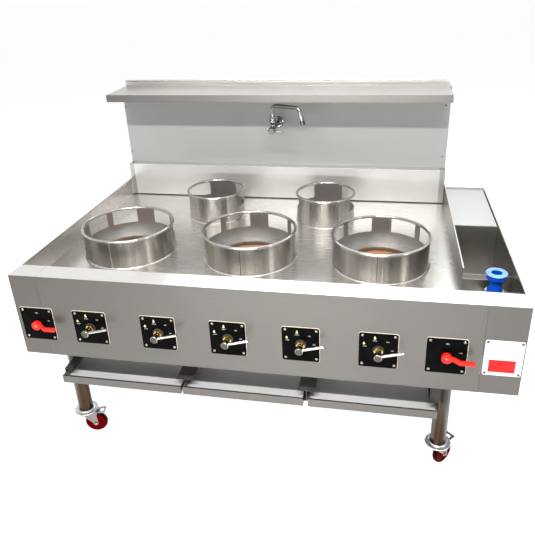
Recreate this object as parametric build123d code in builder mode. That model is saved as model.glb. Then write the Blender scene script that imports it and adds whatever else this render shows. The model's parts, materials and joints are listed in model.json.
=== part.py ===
"""Five-burner wok range on casters, with a water trough, a splashback with a shelf and a swivel tap.

Frame: +Z up, the front faces -Y, X runs to the right seen from the front, millimetres.
The origin is on the floor, under the centre of the range's bounding box.
"""
from build123d import *
from math import cos, radians, sin
import os

os.makedirs("parts", exist_ok=True)

# ---------------------------------------------------------------- driving sizes
# body
width = 1800                  # over the fascia
body_depth = 1190             # fascia face to the back of the body
rim_height = 860              # floor to the rim
fascia_height = 338           # rim to the underside of the body
rail_depth = 85               # flat rail along the top of the fascia
return_depth = 30             # flange under the fascia
gauge = 2                     # stainless sheet
deck_gauge = 3                # heavier sheet of the deck
deck_drop = 93                # rim to deck
end_left_width = 107          # separate end pieces of the fascia
end_right_width = 130
side_inset = 1                # side panels inside the fascia's ends
hem_width = 5                 # folded top edge of a side panel
hem_height = 12

# splashback
splash_depth = 82             # lower box
panel_depth = 40              # upper panel
splash_step = 77              # rim to the ledge
slot_gap = 5                  # water slot between the deck and the splashback
post_width = 25
shelf_height = 465            # rim to the shelf
shelf_inset = 10              # ends of the splashback to the ends of the shelf
shelf_depth = 235
shelf_overlap = 31            # shelf over the top of the panel
lip_height = 34
upstand_height = 31

# trough
trough_width = 184            # left face of the wall between deck and trough to the range's right end
trough_back_setback = 1095    # fascia face to the trough's back wall
sump_floor_drop = 120         # rim to the sump's floor
well_floor_drop = 245
divider_cut = 248             # in front of this the divider is down to the deck
weir_setback = 271
weir_ledge = 39
weir_drop = 55
weir_end_gap = 33
partition_setback = 646
cover_recess = 6
cover_gap = 4
drain_inset = 108             # left face of the divider to the drain
drain_setback = 217
drain_tube = 25
socket_drop = 68              # rim to the top of the drain socket
overflow_radius = 21.5
overflow_bore = 18
overflow_flange = 36
overflow_collar = 32

# burners and wok rings
burner_inset_left = 278       # left end of the range to the first burner
burner_inset_right = 289      # last front burner to the divider
front_row_setback = 445
rear_row_setback = 877
large_ring_radius = 188
large_ring_height = 124
small_ring_radius = 133.5
small_ring_height = 132
ring_wall = 3
ring_rod = 12                 # diameter of the round bar on the top edge
ring_bead = 5
large_well_radius = 124
small_well_radius = 88
well_depth = 140
well_lip = 8                  # how far the well stands above the deck
brick_clearance = 1
brick_drop = 6                # deck to the top of the fire brick
throat_radius = 15
head_height = 82              # burner head above the floor of its well

# controls
control_drop = 200            # rim to the control spindles
control_offsets = (15, 16.75, 13.5, 10.25, 11)   # each burner to its control, along X
water_inset_left = 81.5       # left end of the range to the left water control
water_inset_right = 57.5      # right water control to the divider
plate_width = 132
plate_height = 139
plate_gauge = 1.5
plate_corner = 8
spindle_radius = 6
running_gap = 0.3             # between a turning piece and what carries it
collar_radius = 19
collar_gauge = 3
cock_nut = 8
lever_reach = 50              # front of a gas lever's hub to the fascia
lever_length = 87
lever_tilt = 15               # degrees above level
hub_radius = 13.5
lever_rod = 10
red_lever_length = 88
red_lever_reach = 40
red_lever_height = 15

# pipes
manifold_radius = 21
manifold_drop = 140
manifold_setback = 50
feed_radius = 10.5
water_radius = 7.5
pipe_drop = 268               # rim to the pipes that run back under the wells
inlet_stub = 30               # threaded end standing out of the back
pipe_hole_gap = 3             # round a pipe that passes through a sheet
manifold_inset = 40           # left end of the range to the manifold where it runs back
manifold_wall = 3
spray_inset = 25              # back of the body to the water pipes
spray_drop = 55               # rim to the spray bar
supply_radius = 11
supply_drop = 250             # rim to the water supply pipe
supply_setback = 22
supply_inset = 115            # left end of the range to the supply where it comes in from the back
inlet_nut = 8                 # lock nuts of both inlets, outside the rear panel
inlet_thread = 0.6            # depth of the thread on both inlets

# frame, legs and casters
frame_bar = 40
frame_gauge = 3
leg_inset_left = 92           # left end of the range to the left legs
leg_inset_right = 32          # right legs to the divider
leg_setbacks = (159, 183, 155, 155)   # left and right legs from the front, then from the back
leg_diameter = 60.3
leg_wall = 2
caster_height = 122
caster_ring_diameter = 100
caster_ring_gauge = 6
wheel_diameter = 95
wheel_width = 26
caster_trail = 34
axle_radius = 6
axle_gap = 0.08               # radial running gap on the axle

# drip trays and runners
tray_top_drop = 438
tray_height = 32
tray_depth = 950
tray_gauge = 1.5
tray_leg_gap = (36, 35.5)     # axes of the left and right legs to the outer trays
tray_splits = (0.344, 0.675)  # middles of the gaps between trays, as parts of the trays' span
tray_splits_width = (9, 18)
runner_flange = 30
runner_setback = 32
runner_rise = 12              # tray top to the runner's upper flange
tray_gap = 0.5                # under a tray, on its runner
hanger_setbacks = (330, 880)

# tap
tap_offset = 5                # middle of the splashback to the tap
tap_rise = 295                # rim to the tap
tap_reach = 163               # panel to the front of the body
swivel_reach = 142
swivel_rise = 50
spout_radius = 9
spout_rise = 60
spout_reach = 145
spout_turn = 22               # degrees towards the front
nozzle_reach = 18             # knee of the spout to its outlet
nozzle_rise = 40              # tap to the outlet
tap_lever_length = 58
tap_lever_tilt = -8

# ---------------------------------------------------------------- datums
half = width / 2
front = lever_reach - (lever_reach + body_depth + inlet_stub) / 2
back = front + body_depth
rim = rim_height
deck = rim - deck_drop
base = rim - fascia_height
basin = front + rail_depth
side_out = half - side_inset
side_in = side_out - gauge
divider_x = half - trough_width
splash_left = -half
splash_right = divider_x - gauge
splash_front = back - splash_depth
panel_front = back - panel_depth
ledge = rim + splash_step
shelf_top = rim + shelf_height
trough_left = divider_x
trough_right = half - hem_width
trough_back = front + trough_back_setback
control_z = rim - control_drop
cock_back = front + 62
frame_bottom = base + gauge
frame_top = frame_bottom + frame_bar
front_row = front + front_row_setback
rear_row = front + rear_row_setback
burner_first_x = -half + burner_inset_left
burner_pitch = (divider_x - burner_inset_right - burner_first_x) / 2
burners = [(burner_first_x, front_row, "large"),
           (burner_first_x + burner_pitch / 2, rear_row, "small"),
           (burner_first_x + burner_pitch, front_row, "large"),
           (burner_first_x + 1.5 * burner_pitch, rear_row, "small"),
           (burner_first_x + 2 * burner_pitch, front_row, "large")]
ring_radius = {"large": large_ring_radius, "small": small_ring_radius}
ring_height = {"large": large_ring_height, "small": small_ring_height}
well_radius = {"large": large_well_radius, "small": small_well_radius}
deck_under = deck - deck_gauge
well_floor = deck_under - well_depth
pipe_z = rim - pipe_drop
leg_left_x = -half + leg_inset_left
leg_right_x = divider_x - leg_inset_right
leg_places = [(leg_left_x, front + leg_setbacks[0]), (leg_right_x, front + leg_setbacks[1]),
              (leg_left_x, back - leg_setbacks[2]), (leg_right_x, back - leg_setbacks[3])]
leg_radius = leg_diameter / 2
manifold_z = rim - manifold_drop
spray_y = back - spray_inset
spray_z = rim - spray_drop
supply_z = rim - supply_drop
manifold_left = -half + manifold_inset
supply_x = -half + supply_inset
gas_controls = [place[0] + shift for place, shift in zip(burners, control_offsets)]
water_controls = (-half + water_inset_left, divider_x - water_inset_right)
controls = [water_controls[0], *gas_controls, water_controls[1]]
tap_x = (splash_left + splash_right) / 2 - tap_offset


def finish(piece, name):
    """Label a finished piece and write it to its file."""
    piece.part.label = name
    export_step(piece.part, f"parts/{name}.step")


def block(x0, x1, y0, y1, z0, z1, mode=Mode.ADD):
    """Rectangular stock between two corners, in the piece being built."""
    with Locations(((x0 + x1) / 2, (y0 + y1) / 2, (z0 + z1) / 2)):
        Box(x1 - x0, y1 - y0, z1 - z0, mode=mode)


def folded(plane, points, thickness, length, side=Side.RIGHT):
    """Sheet folded along the points, laid to one side of the way they run, and drawn out by length."""
    with BuildSketch(plane) as section:
        with BuildLine():
            Polyline(*points)
            offset(amount=thickness, side=side, kind=Kind.INTERSECTION)
        make_face()
    extrude(section.sketch, amount=length)


def round_bar(points, radius, bend, bore=0):
    """Round bar, or pipe if it has a bore, along straight runs joined by bends of one radius."""
    with BuildLine() as route:
        FilletPolyline(*points, radius=bend)
    with BuildSketch(Plane(origin=route.line @ 0, z_dir=route.line % 0)) as section:
        Circle(radius)
        if bore:
            Circle(bore, mode=Mode.SUBTRACT)
    sweep(section.sketch, path=route.line)


# ---------------------------------------------------------------- fascia and body
fascia_profile = [(front + return_depth, base), (front, base), (front, rim), (basin, rim), (basin, deck)]
seam = 0.4                    # open joint between the fascia and its end pieces
seam_left = -half + end_left_width
seam_right = half - end_right_width

with BuildPart() as front_fascia:
    folded(Plane.YZ.offset(seam_left + seam), fascia_profile, gauge, seam_right - seam_left - 2 * seam)
    with BuildSketch(Plane.XZ.offset(-front)):
        with Locations([(x, control_z) for x in controls[1:]]):
            Circle(throat_radius)
    extrude(amount=-gauge, mode=Mode.SUBTRACT)
finish(front_fascia, "front_fascia")

with BuildPart() as fascia_end_left:
    folded(Plane.YZ.offset(-half), fascia_profile, gauge, end_left_width)
    block(-half, -half + gauge, front, basin - gauge, base, rim)
    with BuildSketch(Plane.XZ.offset(-front)):
        with Locations((water_controls[0], control_z)):
            Circle(throat_radius)
    extrude(amount=-gauge, mode=Mode.SUBTRACT)
finish(fascia_end_left, "fascia_end_left")

with BuildPart() as fascia_end_right:
    folded(Plane.YZ.offset(seam_right), fascia_profile, gauge, end_right_width)
    block(half - gauge, half, front, basin - gauge, base, rim)
finish(fascia_end_right, "fascia_end_right")

with BuildPart() as side_panel_left:
    with BuildSketch(Plane.YZ.offset(-side_out)):
        Polygon((basin, base), (back - gauge, base), (back - gauge, deck + slot_gap),
                (splash_front - slot_gap, deck + slot_gap), (splash_front - slot_gap, rim), (basin, rim),
                align=None)
    extrude(amount=gauge)
    block(-side_out, -side_out + hem_width, basin, splash_front - slot_gap, rim - hem_height, rim)
finish(side_panel_left, "side_panel_left")

with BuildPart() as side_panel_right:
    block(side_in, side_out, basin, trough_back + gauge, base, rim)
    block(trough_right, side_out, basin, trough_back + gauge, rim - hem_height, rim)
finish(side_panel_right, "side_panel_right")

with BuildPart() as rear_panel:
    folded(Plane.XY.offset(base),
           [(side_out, trough_back + 2 * gauge), (divider_x + gauge, trough_back + 2 * gauge),
            (divider_x + gauge, back), (-side_out, back)], gauge, rim - base, side=Side.LEFT)
    block(splash_left + side_inset, splash_right, back - gauge, back, rim, ledge - gauge)
    with BuildSketch(Plane.XZ.offset(-back)):
        with Locations((manifold_left, manifold_z)):
            Circle(manifold_radius + pipe_hole_gap)
        with Locations((supply_x, supply_z)):
            Circle(supply_radius + pipe_hole_gap)
    extrude(amount=gauge, mode=Mode.SUBTRACT)
finish(rear_panel, "rear_panel")

with BuildPart() as hob_deck:
    block(-side_in, trough_left, basin - gauge, splash_front + 15, deck_under, deck)
    for x, y, kind in burners:
        with BuildSketch(Plane.XY.offset(deck)):
            with Locations((x, y)):
                Circle(well_radius[kind])
        extrude(amount=-deck_gauge, mode=Mode.SUBTRACT)
finish(hob_deck, "hob_deck")

# ---------------------------------------------------------------- base frame
# Inverted channels, butted together: the long ones run from side to side, the short ones front to back.
trough_bar_back = trough_back + gauge
frame_left = -side_in
frame_right = side_in


def channel_across(x0, x1, y0):
    """Inverted channel that runs along X."""
    block(x0, x1, y0, y0 + frame_bar, frame_bottom, frame_top)
    block(x0, x1, y0 + frame_gauge, y0 + frame_bar - frame_gauge, frame_bottom, frame_top - frame_gauge,
          mode=Mode.SUBTRACT)


def channel_along(y0, y1, x0):
    """Inverted channel that runs along Y."""
    block(x0, x0 + frame_bar, y0, y1, frame_bottom, frame_top)
    block(x0 + frame_gauge, x0 + frame_bar - frame_gauge, y0, y1, frame_bottom, frame_top - frame_gauge,
          mode=Mode.SUBTRACT)


front_bar_back = front + gauge + frame_bar
leg_bar_left = leg_left_x - frame_bar / 2
leg_bar_right = leg_right_x - frame_bar / 2
hanger_bars = [front + setback - frame_bar / 2 for setback in hanger_setbacks]
bars = []
with BuildPart() as front_bar:
    channel_across(frame_left, frame_right, front + gauge)
bars.append(front_bar.part)
with BuildPart() as rear_bar:
    channel_across(frame_left, trough_left - gauge, back - gauge - frame_bar)
bars.append(rear_bar.part)
with BuildPart() as trough_bar:
    channel_across(leg_bar_right + frame_bar, frame_right, trough_bar_back - frame_bar)
bars.append(trough_bar.part)
for x in (frame_left, leg_bar_left, leg_bar_right):
    with BuildPart() as long_bar:
        channel_along(front_bar_back, back - gauge - frame_bar, x)
    bars.append(long_bar.part)
with BuildPart() as right_bar:
    channel_along(front_bar_back, trough_bar_back - frame_bar, frame_right - frame_bar)
bars.append(right_bar.part)
for y in hanger_bars:
    with BuildPart() as hanger_bar:
        channel_across(leg_bar_left + frame_bar, leg_bar_right, y)
    bars.append(hanger_bar.part)
base_frame = Compound(label="base_frame", children=bars)
export_step(base_frame, "parts/base_frame.step")

# ---------------------------------------------------------------- trough
inner_left = trough_left + gauge
inner_right = trough_right - gauge
sump_floor = rim - sump_floor_drop
well_bottom = rim - well_floor_drop
weir_front = front + weir_setback
weir_wall = weir_front + weir_ledge
partition = front + partition_setback
drain_x = divider_x + drain_inset
drain_y = front + drain_setback
bays = [(basin + gauge, weir_wall - gauge, sump_floor),
        (weir_wall, partition, well_bottom),
        (partition + gauge, trough_back - gauge, sump_floor)]

with BuildPart() as drain_trough:
    for y0, y1, floor in bays:
        block(trough_left, trough_right, y0 - gauge, y1 + gauge, floor - gauge, rim)
    for y0, y1, floor in bays:
        block(inner_left, inner_right, y0, y1, floor, rim, mode=Mode.SUBTRACT)
    # the weir's back wall and the partition stop below the rim, the divider is low in front
    block(inner_left, inner_right, weir_wall - gauge, weir_wall, rim - weir_drop - gauge, rim,
          mode=Mode.SUBTRACT)
    block(inner_left, inner_right, partition, partition + gauge, rim - cover_recess - gauge, rim,
          mode=Mode.SUBTRACT)
    block(trough_left, inner_left, basin, front + divider_cut, deck, rim, mode=Mode.SUBTRACT)
    # turned top edge of the divider
    block(trough_left, trough_left + hem_width, front + divider_cut, trough_back, rim - hem_height, rim)
    # ledge that carries the back of the cover
    block(inner_left, inner_right, trough_back - gauge - 12, trough_back - gauge,
          rim - cover_recess - 2 * gauge, rim - cover_recess - gauge)
    with BuildSketch(Plane.XY.offset(sump_floor)):
        with Locations((drain_x, drain_y)):
            Circle(drain_tube)
    extrude(amount=-gauge, mode=Mode.SUBTRACT)
finish(drain_trough, "drain_trough")

with BuildPart() as trough_weir:
    folded(Plane.YZ.offset(inner_left),
           [(weir_front, sump_floor), (weir_front, rim - weir_drop), (weir_wall, rim - weir_drop)],
           gauge, inner_right - inner_left - weir_end_gap)
    block(inner_right - weir_end_gap - gauge, inner_right - weir_end_gap, weir_front + gauge,
          weir_wall - gauge, sump_floor, rim - weir_drop - gauge)
finish(trough_weir, "trough_weir")

cover_left = trough_left + hem_width + cover_gap / 2
cover_right = inner_right - cover_gap
cover_back = trough_back - gauge - cover_gap
with BuildPart() as trough_cover:
    with BuildSketch(Plane.XY.offset(rim - cover_recess - gauge)):
        with Locations(((cover_left + cover_right) / 2, (partition + cover_back) / 2)):
            Rectangle(cover_right - cover_left, cover_back - partition)
        with Locations((cover_left + 22, cover_back - 10), (cover_right - 22, cover_back - 10)):
            SlotOverall(26, 8, mode=Mode.SUBTRACT)
    extrude(amount=gauge)
    # skirts that keep the cover in line between the walls
    for x in (cover_left + 2, cover_right - 2 - gauge):
        block(x, x + gauge, partition + gauge + 6, cover_back - 20, rim - cover_recess - gauge - 14,
              rim - cover_recess - gauge)
finish(trough_cover, "trough_cover")

socket_top = rim - socket_drop
socket_bore = drain_tube - 1.5
drain_end = base + 12
with BuildPart() as drain_fitting:
    with BuildSketch(Plane.XZ.offset(-drain_y)):
        with BuildLine():
            Polyline((drain_x + 20, drain_end), (drain_x + drain_tube, drain_end),
                     (drain_x + drain_tube, sump_floor), (drain_x + 45, sump_floor),
                     (drain_x + 45, sump_floor + 3), (drain_x + 34, sump_floor + 5),
                     (drain_x + 34, socket_top), (drain_x + socket_bore + 1, socket_top),
                     (drain_x + socket_bore + 1, sump_floor + 6), (drain_x + 20, sump_floor + 6), close=True)
        make_face()
    revolve(axis=Axis((drain_x, drain_y, 0), (0, 0, 1)))
    # lock nut under the floor
    with BuildSketch(Plane.XY.offset(sump_floor - gauge)):
        with Locations((drain_x, drain_y)):
            RegularPolygon(34, 6)
            Circle(drain_tube, mode=Mode.SUBTRACT)
    extrude(amount=-12)
finish(drain_fitting, "drain_fitting")

pipe_top = rim + 6
with BuildPart() as overflow_pipe:
    with BuildSketch(Plane.XZ.offset(-drain_y)):
        with BuildLine():
            Polyline((drain_x + overflow_bore, sump_floor + 6.5), (drain_x + socket_bore + 0.7, sump_floor + 6.5),
                     (drain_x + socket_bore + 0.7, socket_top + 0.5), (drain_x + 26, socket_top + 0.5),
                     (drain_x + 25.5, socket_top + 8), (drain_x + overflow_radius, socket_top + 16),
                     (drain_x + overflow_radius, rim - 20), (drain_x + overflow_collar, rim - 18),
                     (drain_x + overflow_collar, rim - 5), (drain_x + overflow_collar - 3, rim - 4),
                     (drain_x + overflow_collar - 3, rim - 1), (drain_x + overflow_flange - 2, rim - 1),
                     (drain_x + overflow_flange, rim + 1), (drain_x + overflow_flange, pipe_top - 2),
                     (drain_x + overflow_flange - 2, pipe_top), (drain_x + overflow_bore + 2, pipe_top),
                     (drain_x + overflow_bore, pipe_top - 2), close=True)
        make_face()
    revolve(axis=Axis((drain_x, drain_y, 0), (0, 0, 1)))
finish(overflow_pipe, "overflow_pipe")

# ---------------------------------------------------------------- splashback
slot_top = deck + slot_gap
box_left = splash_left + post_width
box_right = splash_right - post_width
with BuildPart() as splash_box:
    folded(Plane.YZ.offset(box_left),
           [(splash_front + 20, slot_top), (splash_front, slot_top), (splash_front, ledge),
            (back, ledge), (back, ledge - gauge)], gauge, box_right - box_left)
    with BuildSketch(Plane.XY.offset(ledge)):
        with Locations((water_controls[1], spray_y)):
            Circle(water_radius + pipe_hole_gap)
    extrude(amount=-gauge, mode=Mode.SUBTRACT)
finish(splash_box, "splash_box")

with BuildPart() as splash_posts:
    for x in (splash_left, box_right):
        block(x, x + post_width, splash_front, back - gauge, slot_top, ledge)
finish(splash_posts, "splash_posts")

panel_top = shelf_top - gauge
with BuildPart() as splash_panel:
    folded(Plane.XY.offset(ledge),
           [(splash_left + 25, back), (splash_left, back), (splash_left, panel_front),
            (splash_right, panel_front), (splash_right, back), (splash_right - 25, back)],
           gauge, panel_top - ledge, side=Side.LEFT)
    with BuildSketch(Plane.XZ.offset(-panel_front)):
        with Locations((tap_x, rim + tap_rise)):
            Circle(water_radius + pipe_hole_gap)
    extrude(amount=-gauge, mode=Mode.SUBTRACT)
finish(splash_panel, "splash_panel")

shelf_back = panel_front + shelf_overlap
shelf_front = shelf_back - shelf_depth
shelf_left = splash_left + shelf_inset
shelf_length = splash_right - splash_left - 2 * shelf_inset
lip_bottom = shelf_top - lip_height
with BuildPart() as splash_shelf:
    folded(Plane.YZ.offset(shelf_left),
           [(shelf_front + 14, lip_bottom), (shelf_front, lip_bottom), (shelf_front, shelf_top),
            (shelf_back, shelf_top)], gauge, shelf_length)
    block(shelf_left, shelf_left + shelf_length, shelf_back, shelf_back + gauge, panel_top,
          shelf_top + upstand_height - 4)
    # rolled top edge of the upstand
    with BuildSketch(Plane.YZ.offset(shelf_left)):
        with Locations((shelf_back + gauge / 2, shelf_top + upstand_height - 4)):
            Circle(4)
    extrude(amount=shelf_length)
    # end lips between the front lip and the panel
    for x in (shelf_left, shelf_left + shelf_length - gauge):
        block(x, x + gauge, shelf_front, panel_front - running_gap, lip_bottom, shelf_top)
finish(splash_shelf, "splash_shelf")

# ---------------------------------------------------------------- burners
with BuildPart() as burner_wells:
    for x, y, kind in burners:
        r = well_radius[kind]
        with BuildSketch(Plane.XZ.offset(-y)):
            with BuildLine():
                Polyline((x + throat_radius, well_floor), (x + r, well_floor), (x + r, deck + well_lip),
                         (x + r - gauge, deck + well_lip), (x + r - gauge, well_floor + gauge),
                         (x + throat_radius, well_floor + gauge), close=True)
            make_face()
        revolve(axis=Axis((x, y, 0), (0, 0, 1)))
finish(burner_wells, "burner_wells")

brick_top = deck - brick_drop
with BuildPart() as burner_bricks:
    for x, y, kind in burners:
        r = well_radius[kind] - gauge - brick_clearance
        bore = r * 0.4
        mouth = r * 0.62
        with BuildSketch(Plane.XZ.offset(-y)):
            with BuildLine():
                Polyline((x + bore, well_floor + gauge), (x + r, well_floor + gauge), (x + r, brick_top - 6),
                         (x + r - 6, brick_top), (x + mouth, brick_top), (x + bore, brick_top - 45),
                         close=True)
            make_face()
        revolve(axis=Axis((x, y, 0), (0, 0, 1)))
finish(burner_bricks, "burner_bricks")

# Cast burner head on the floor of its well: a foot, a waist and a domed jet cap inside the brick's bore.
with BuildPart() as burner_heads:
    for x, y, kind in burners:
        r = (well_radius[kind] - gauge - brick_clearance) * 0.4 - 4
        floor = well_floor + gauge
        with BuildSketch(Plane.XZ.offset(-y)):
            with BuildLine():
                Polyline((x, floor), (x + r, floor), (x + r, floor + 0.17 * head_height),
                         (x + 0.6 * r, floor + 0.27 * head_height), (x + 0.6 * r, floor + 0.6 * head_height),
                         (x + 0.95 * r, floor + 0.73 * head_height), (x + 0.95 * r, floor + 0.88 * head_height),
                         (x + 0.5 * r, floor + head_height), (x, floor + head_height), close=True)
            make_face()
        revolve(axis=Axis((x, y, 0), (0, 0, 1)))
finish(burner_heads, "burner_heads")

cock_radius = 17
cock_boss = 11
cock_y = front + manifold_setback
feed_start = control_z - cock_radius - 6
with BuildPart() as gas_feed_pipes:
    for cock_x, (x, y, kind) in zip(gas_controls, burners):
        round_bar([(cock_x, cock_y, feed_start), (cock_x, cock_y, pipe_z), (x, y, pipe_z),
                   (x, y, well_floor + gauge)], feed_radius, 14)
finish(gas_feed_pipes, "gas_feed_pipes")


def inlet_end(x, z, radius, bore):
    """Lock nut against the rear panel and the threaded end that stands out of it."""
    with BuildSketch(Plane.XZ.offset(-back)) as nut:
        with Locations((x, z)):
            RegularPolygon(radius * 1.25 + 4, 6)
            Circle(bore, mode=Mode.SUBTRACT)
    extrude(nut.sketch, amount=-inlet_nut)
    with BuildSketch(Plane.XZ.offset(-back - inlet_nut)) as thread:
        with Locations((x, z)):
            Circle(radius - inlet_thread)
            Circle(bore, mode=Mode.SUBTRACT)
    extrude(thread.sketch, amount=inlet_nut - inlet_stub)


manifold_end = gas_controls[-1] + 40
manifold_bore = manifold_radius - manifold_wall
manifold_route = [(manifold_end, cock_y, manifold_z), (manifold_left, cock_y, manifold_z),
                  (manifold_left, back, manifold_z)]
with BuildPart() as gas_manifold:
    round_bar(manifold_route, manifold_radius, 45, manifold_bore)
    inlet_end(manifold_left, manifold_z, manifold_radius, manifold_bore)
    with BuildSketch(Plane.YZ.offset(manifold_end)):
        with Locations((cock_y, manifold_z)):
            Circle(manifold_radius + 2)
    extrude(amount=4)
finish(gas_manifold, "gas_manifold")

# Each cock hangs from the manifold behind the fascia, with its nose and nut out through the plate.
plate_front = front - plate_gauge
nut_back = plate_front - collar_gauge
nut_front = nut_back - cock_nut
with BuildPart() as gas_cocks:
    for x in gas_controls:
        axis = Axis((x, 0, control_z), (0, 1, 0))
        with BuildSketch(Plane.XY.offset(control_z)):
            with BuildLine():
                Polyline((x + spindle_radius + running_gap, nut_front), (x + throat_radius - 3, nut_front),
                         (x + throat_radius - 3, front + gauge), (x + cock_radius, front + gauge),
                         (x + cock_radius, cock_back), (x, cock_back), (x, front + 30),
                         (x + spindle_radius + running_gap, front + 30), close=True)
            make_face()
        revolve(axis=axis)
        with BuildSketch(Plane.XZ.offset(-nut_back)):
            with Locations((x, control_z)):
                RegularPolygon(15.5, 6)
                Circle(throat_radius - 5, mode=Mode.SUBTRACT)
        extrude(amount=cock_nut)
        with BuildSketch(Plane.XY.offset(control_z + 10)):
            with Locations((x, cock_y)):
                Circle(cock_boss)
        extrude(amount=manifold_z - manifold_radius - control_z - 10)
        with BuildSketch(Plane.XY.offset(feed_start)):
            with Locations((x, cock_y)):
                Circle(cock_boss + 2)
        extrude(amount=16)
finish(gas_cocks, "gas_cocks")

with BuildPart() as water_valves:
    for x in water_controls:
        axis = Axis((x, 0, control_z), (0, 1, 0))
        with BuildSketch(Plane.XY.offset(control_z)):
            with BuildLine():
                Polyline((x, plate_front - 6), (x + throat_radius - 3, plate_front - 6),
                         (x + throat_radius - 3, front + gauge), (x + cock_radius - 2, front + gauge),
                         (x + cock_radius - 2, cock_back), (x, cock_back), close=True)
            make_face()
        revolve(axis=axis)
        with BuildSketch(Plane.XY.offset(feed_start)):
            with Locations((x, cock_y)):
                Circle(cock_boss - 1)
        extrude(amount=16)
finish(water_valves, "water_valves")

# Cooling line to the spray bar behind the water slot, and supply line up to the tap.
with BuildPart() as water_pipes:
    x = water_controls[0]
    round_bar([(x, cock_y, feed_start), (x, cock_y, pipe_z), (x, spray_y, pipe_z), (x, spray_y, spray_z),
               (splash_right - 110, spray_y, spray_z)], water_radius, 20)
    x = water_controls[1]
    round_bar([(x, cock_y, feed_start), (x, cock_y, pipe_z), (x, spray_y, pipe_z),
               (x, spray_y, rim + tap_rise), (tap_x, spray_y, rim + tap_rise),
               (tap_x, panel_front, rim + tap_rise)], water_radius, 12)
finish(water_pipes, "water_pipes")

# Supply pipe along the fascia under both valves, fed from the back on the left.
supply_y = front + supply_setback
with BuildPart() as water_supply:
    round_bar([(water_controls[1] + 25, supply_y, supply_z), (supply_x, supply_y, supply_z),
               (supply_x, back, supply_z)], supply_radius, 30)
    inlet_end(supply_x, supply_z, supply_radius, supply_radius - 3)
    with BuildSketch(Plane.YZ.offset(supply_x + 30)):
        with Locations((supply_y, supply_z)):
            Circle(supply_radius)
    extrude(amount=water_controls[0] - 25 - supply_x - 30)
    for x in water_controls:
        with BuildSketch(Plane.XY.offset(supply_z)):
            with Locations((x, supply_y)):
                Circle(supply_radius - 2)
        extrude(amount=control_z - cock_radius + 2 - supply_z)
finish(water_supply, "water_supply")

with BuildPart() as control_plates:
    for x in controls:
        with BuildSketch(Plane.XZ.offset(-front)):
            with Locations((x, control_z)):
                RectangleRounded(plate_width, plate_height, plate_corner)
                Circle(throat_radius - 3, mode=Mode.SUBTRACT)
        extrude(amount=plate_gauge)
finish(control_plates, "control_plates")

with BuildPart() as cock_collars:
    with BuildSketch(Plane.XZ.offset(-plate_front)):
        with Locations([(x, control_z) for x in gas_controls]):
            Circle(collar_radius)
            Circle(throat_radius - 3, mode=Mode.SUBTRACT)
    extrude(amount=collar_gauge)
finish(cock_collars, "cock_collars")

# ---------------------------------------------------------------- levers
hub_back = nut_front - running_gap
hub_front = front - lever_reach
rod_y = hub_front + 11
for number, x in enumerate(gas_controls, 1):
    with BuildPart() as gas_lever:
        with BuildSketch(Plane.XY.offset(control_z)):
            with BuildLine():
                Polyline((x, front + 29), (x + spindle_radius, front + 29), (x + spindle_radius, hub_back),
                         (x + 9, hub_back), (x + 9, hub_back - 9), (x + hub_radius - 2, hub_back - 11),
                         (x + hub_radius, hub_front + 20), (x + hub_radius, hub_front + 1.5),
                         (x + hub_radius - 1.5, hub_front), (x, hub_front), close=True)
            make_face()
        revolve(axis=Axis((x, 0, control_z), (0, 1, 0)))
        lean = radians(lever_tilt)
        direction = Vector(cos(lean), 0, sin(lean))
        with BuildSketch(Plane(origin=Vector(x, rod_y, control_z), x_dir=(0, 1, 0), z_dir=direction)):
            Circle(lever_rod / 2)
        extrude(amount=lever_length)
        chamfer(gas_lever.edges().filter_by(GeomType.CIRCLE).sort_by(Axis.X)[-1], 1.5)
    finish(gas_lever, f"gas_lever_{number}")

red_hub_back = plate_front - 6 - running_gap
red_hub_radius = 17.5
grip = 8
for side, x in zip(("left", "right"), water_controls):
    with BuildPart() as water_lever:
        with BuildSketch(Plane.XZ.offset(-red_hub_back)):
            with Locations((x, control_z)):
                Circle(red_hub_radius)
        extrude(amount=14)
        # cranked grip, seen from above
        with BuildSketch(Plane.XY.offset(control_z - red_lever_height / 2)):
            with BuildLine():
                Polyline((x + 4, red_hub_back - 14), (x + 4, red_hub_back - 5), (x + 22, red_hub_back - 7),
                         (x + 44, front - red_lever_reach + grip),
                         (x + red_lever_length, front - red_lever_reach + grip),
                         (x + red_lever_length, front - red_lever_reach),
                         (x + 40, front - red_lever_reach), (x + 18, red_hub_back - 14), close=True)
            make_face()
        extrude(amount=red_lever_height)
        tip = water_lever.edges().filter_by(Axis.Y).group_by(Axis.X)[-1]
        fillet(tip, red_lever_height / 2 - 0.2)
    finish(water_lever, f"water_lever_{side}")

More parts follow.
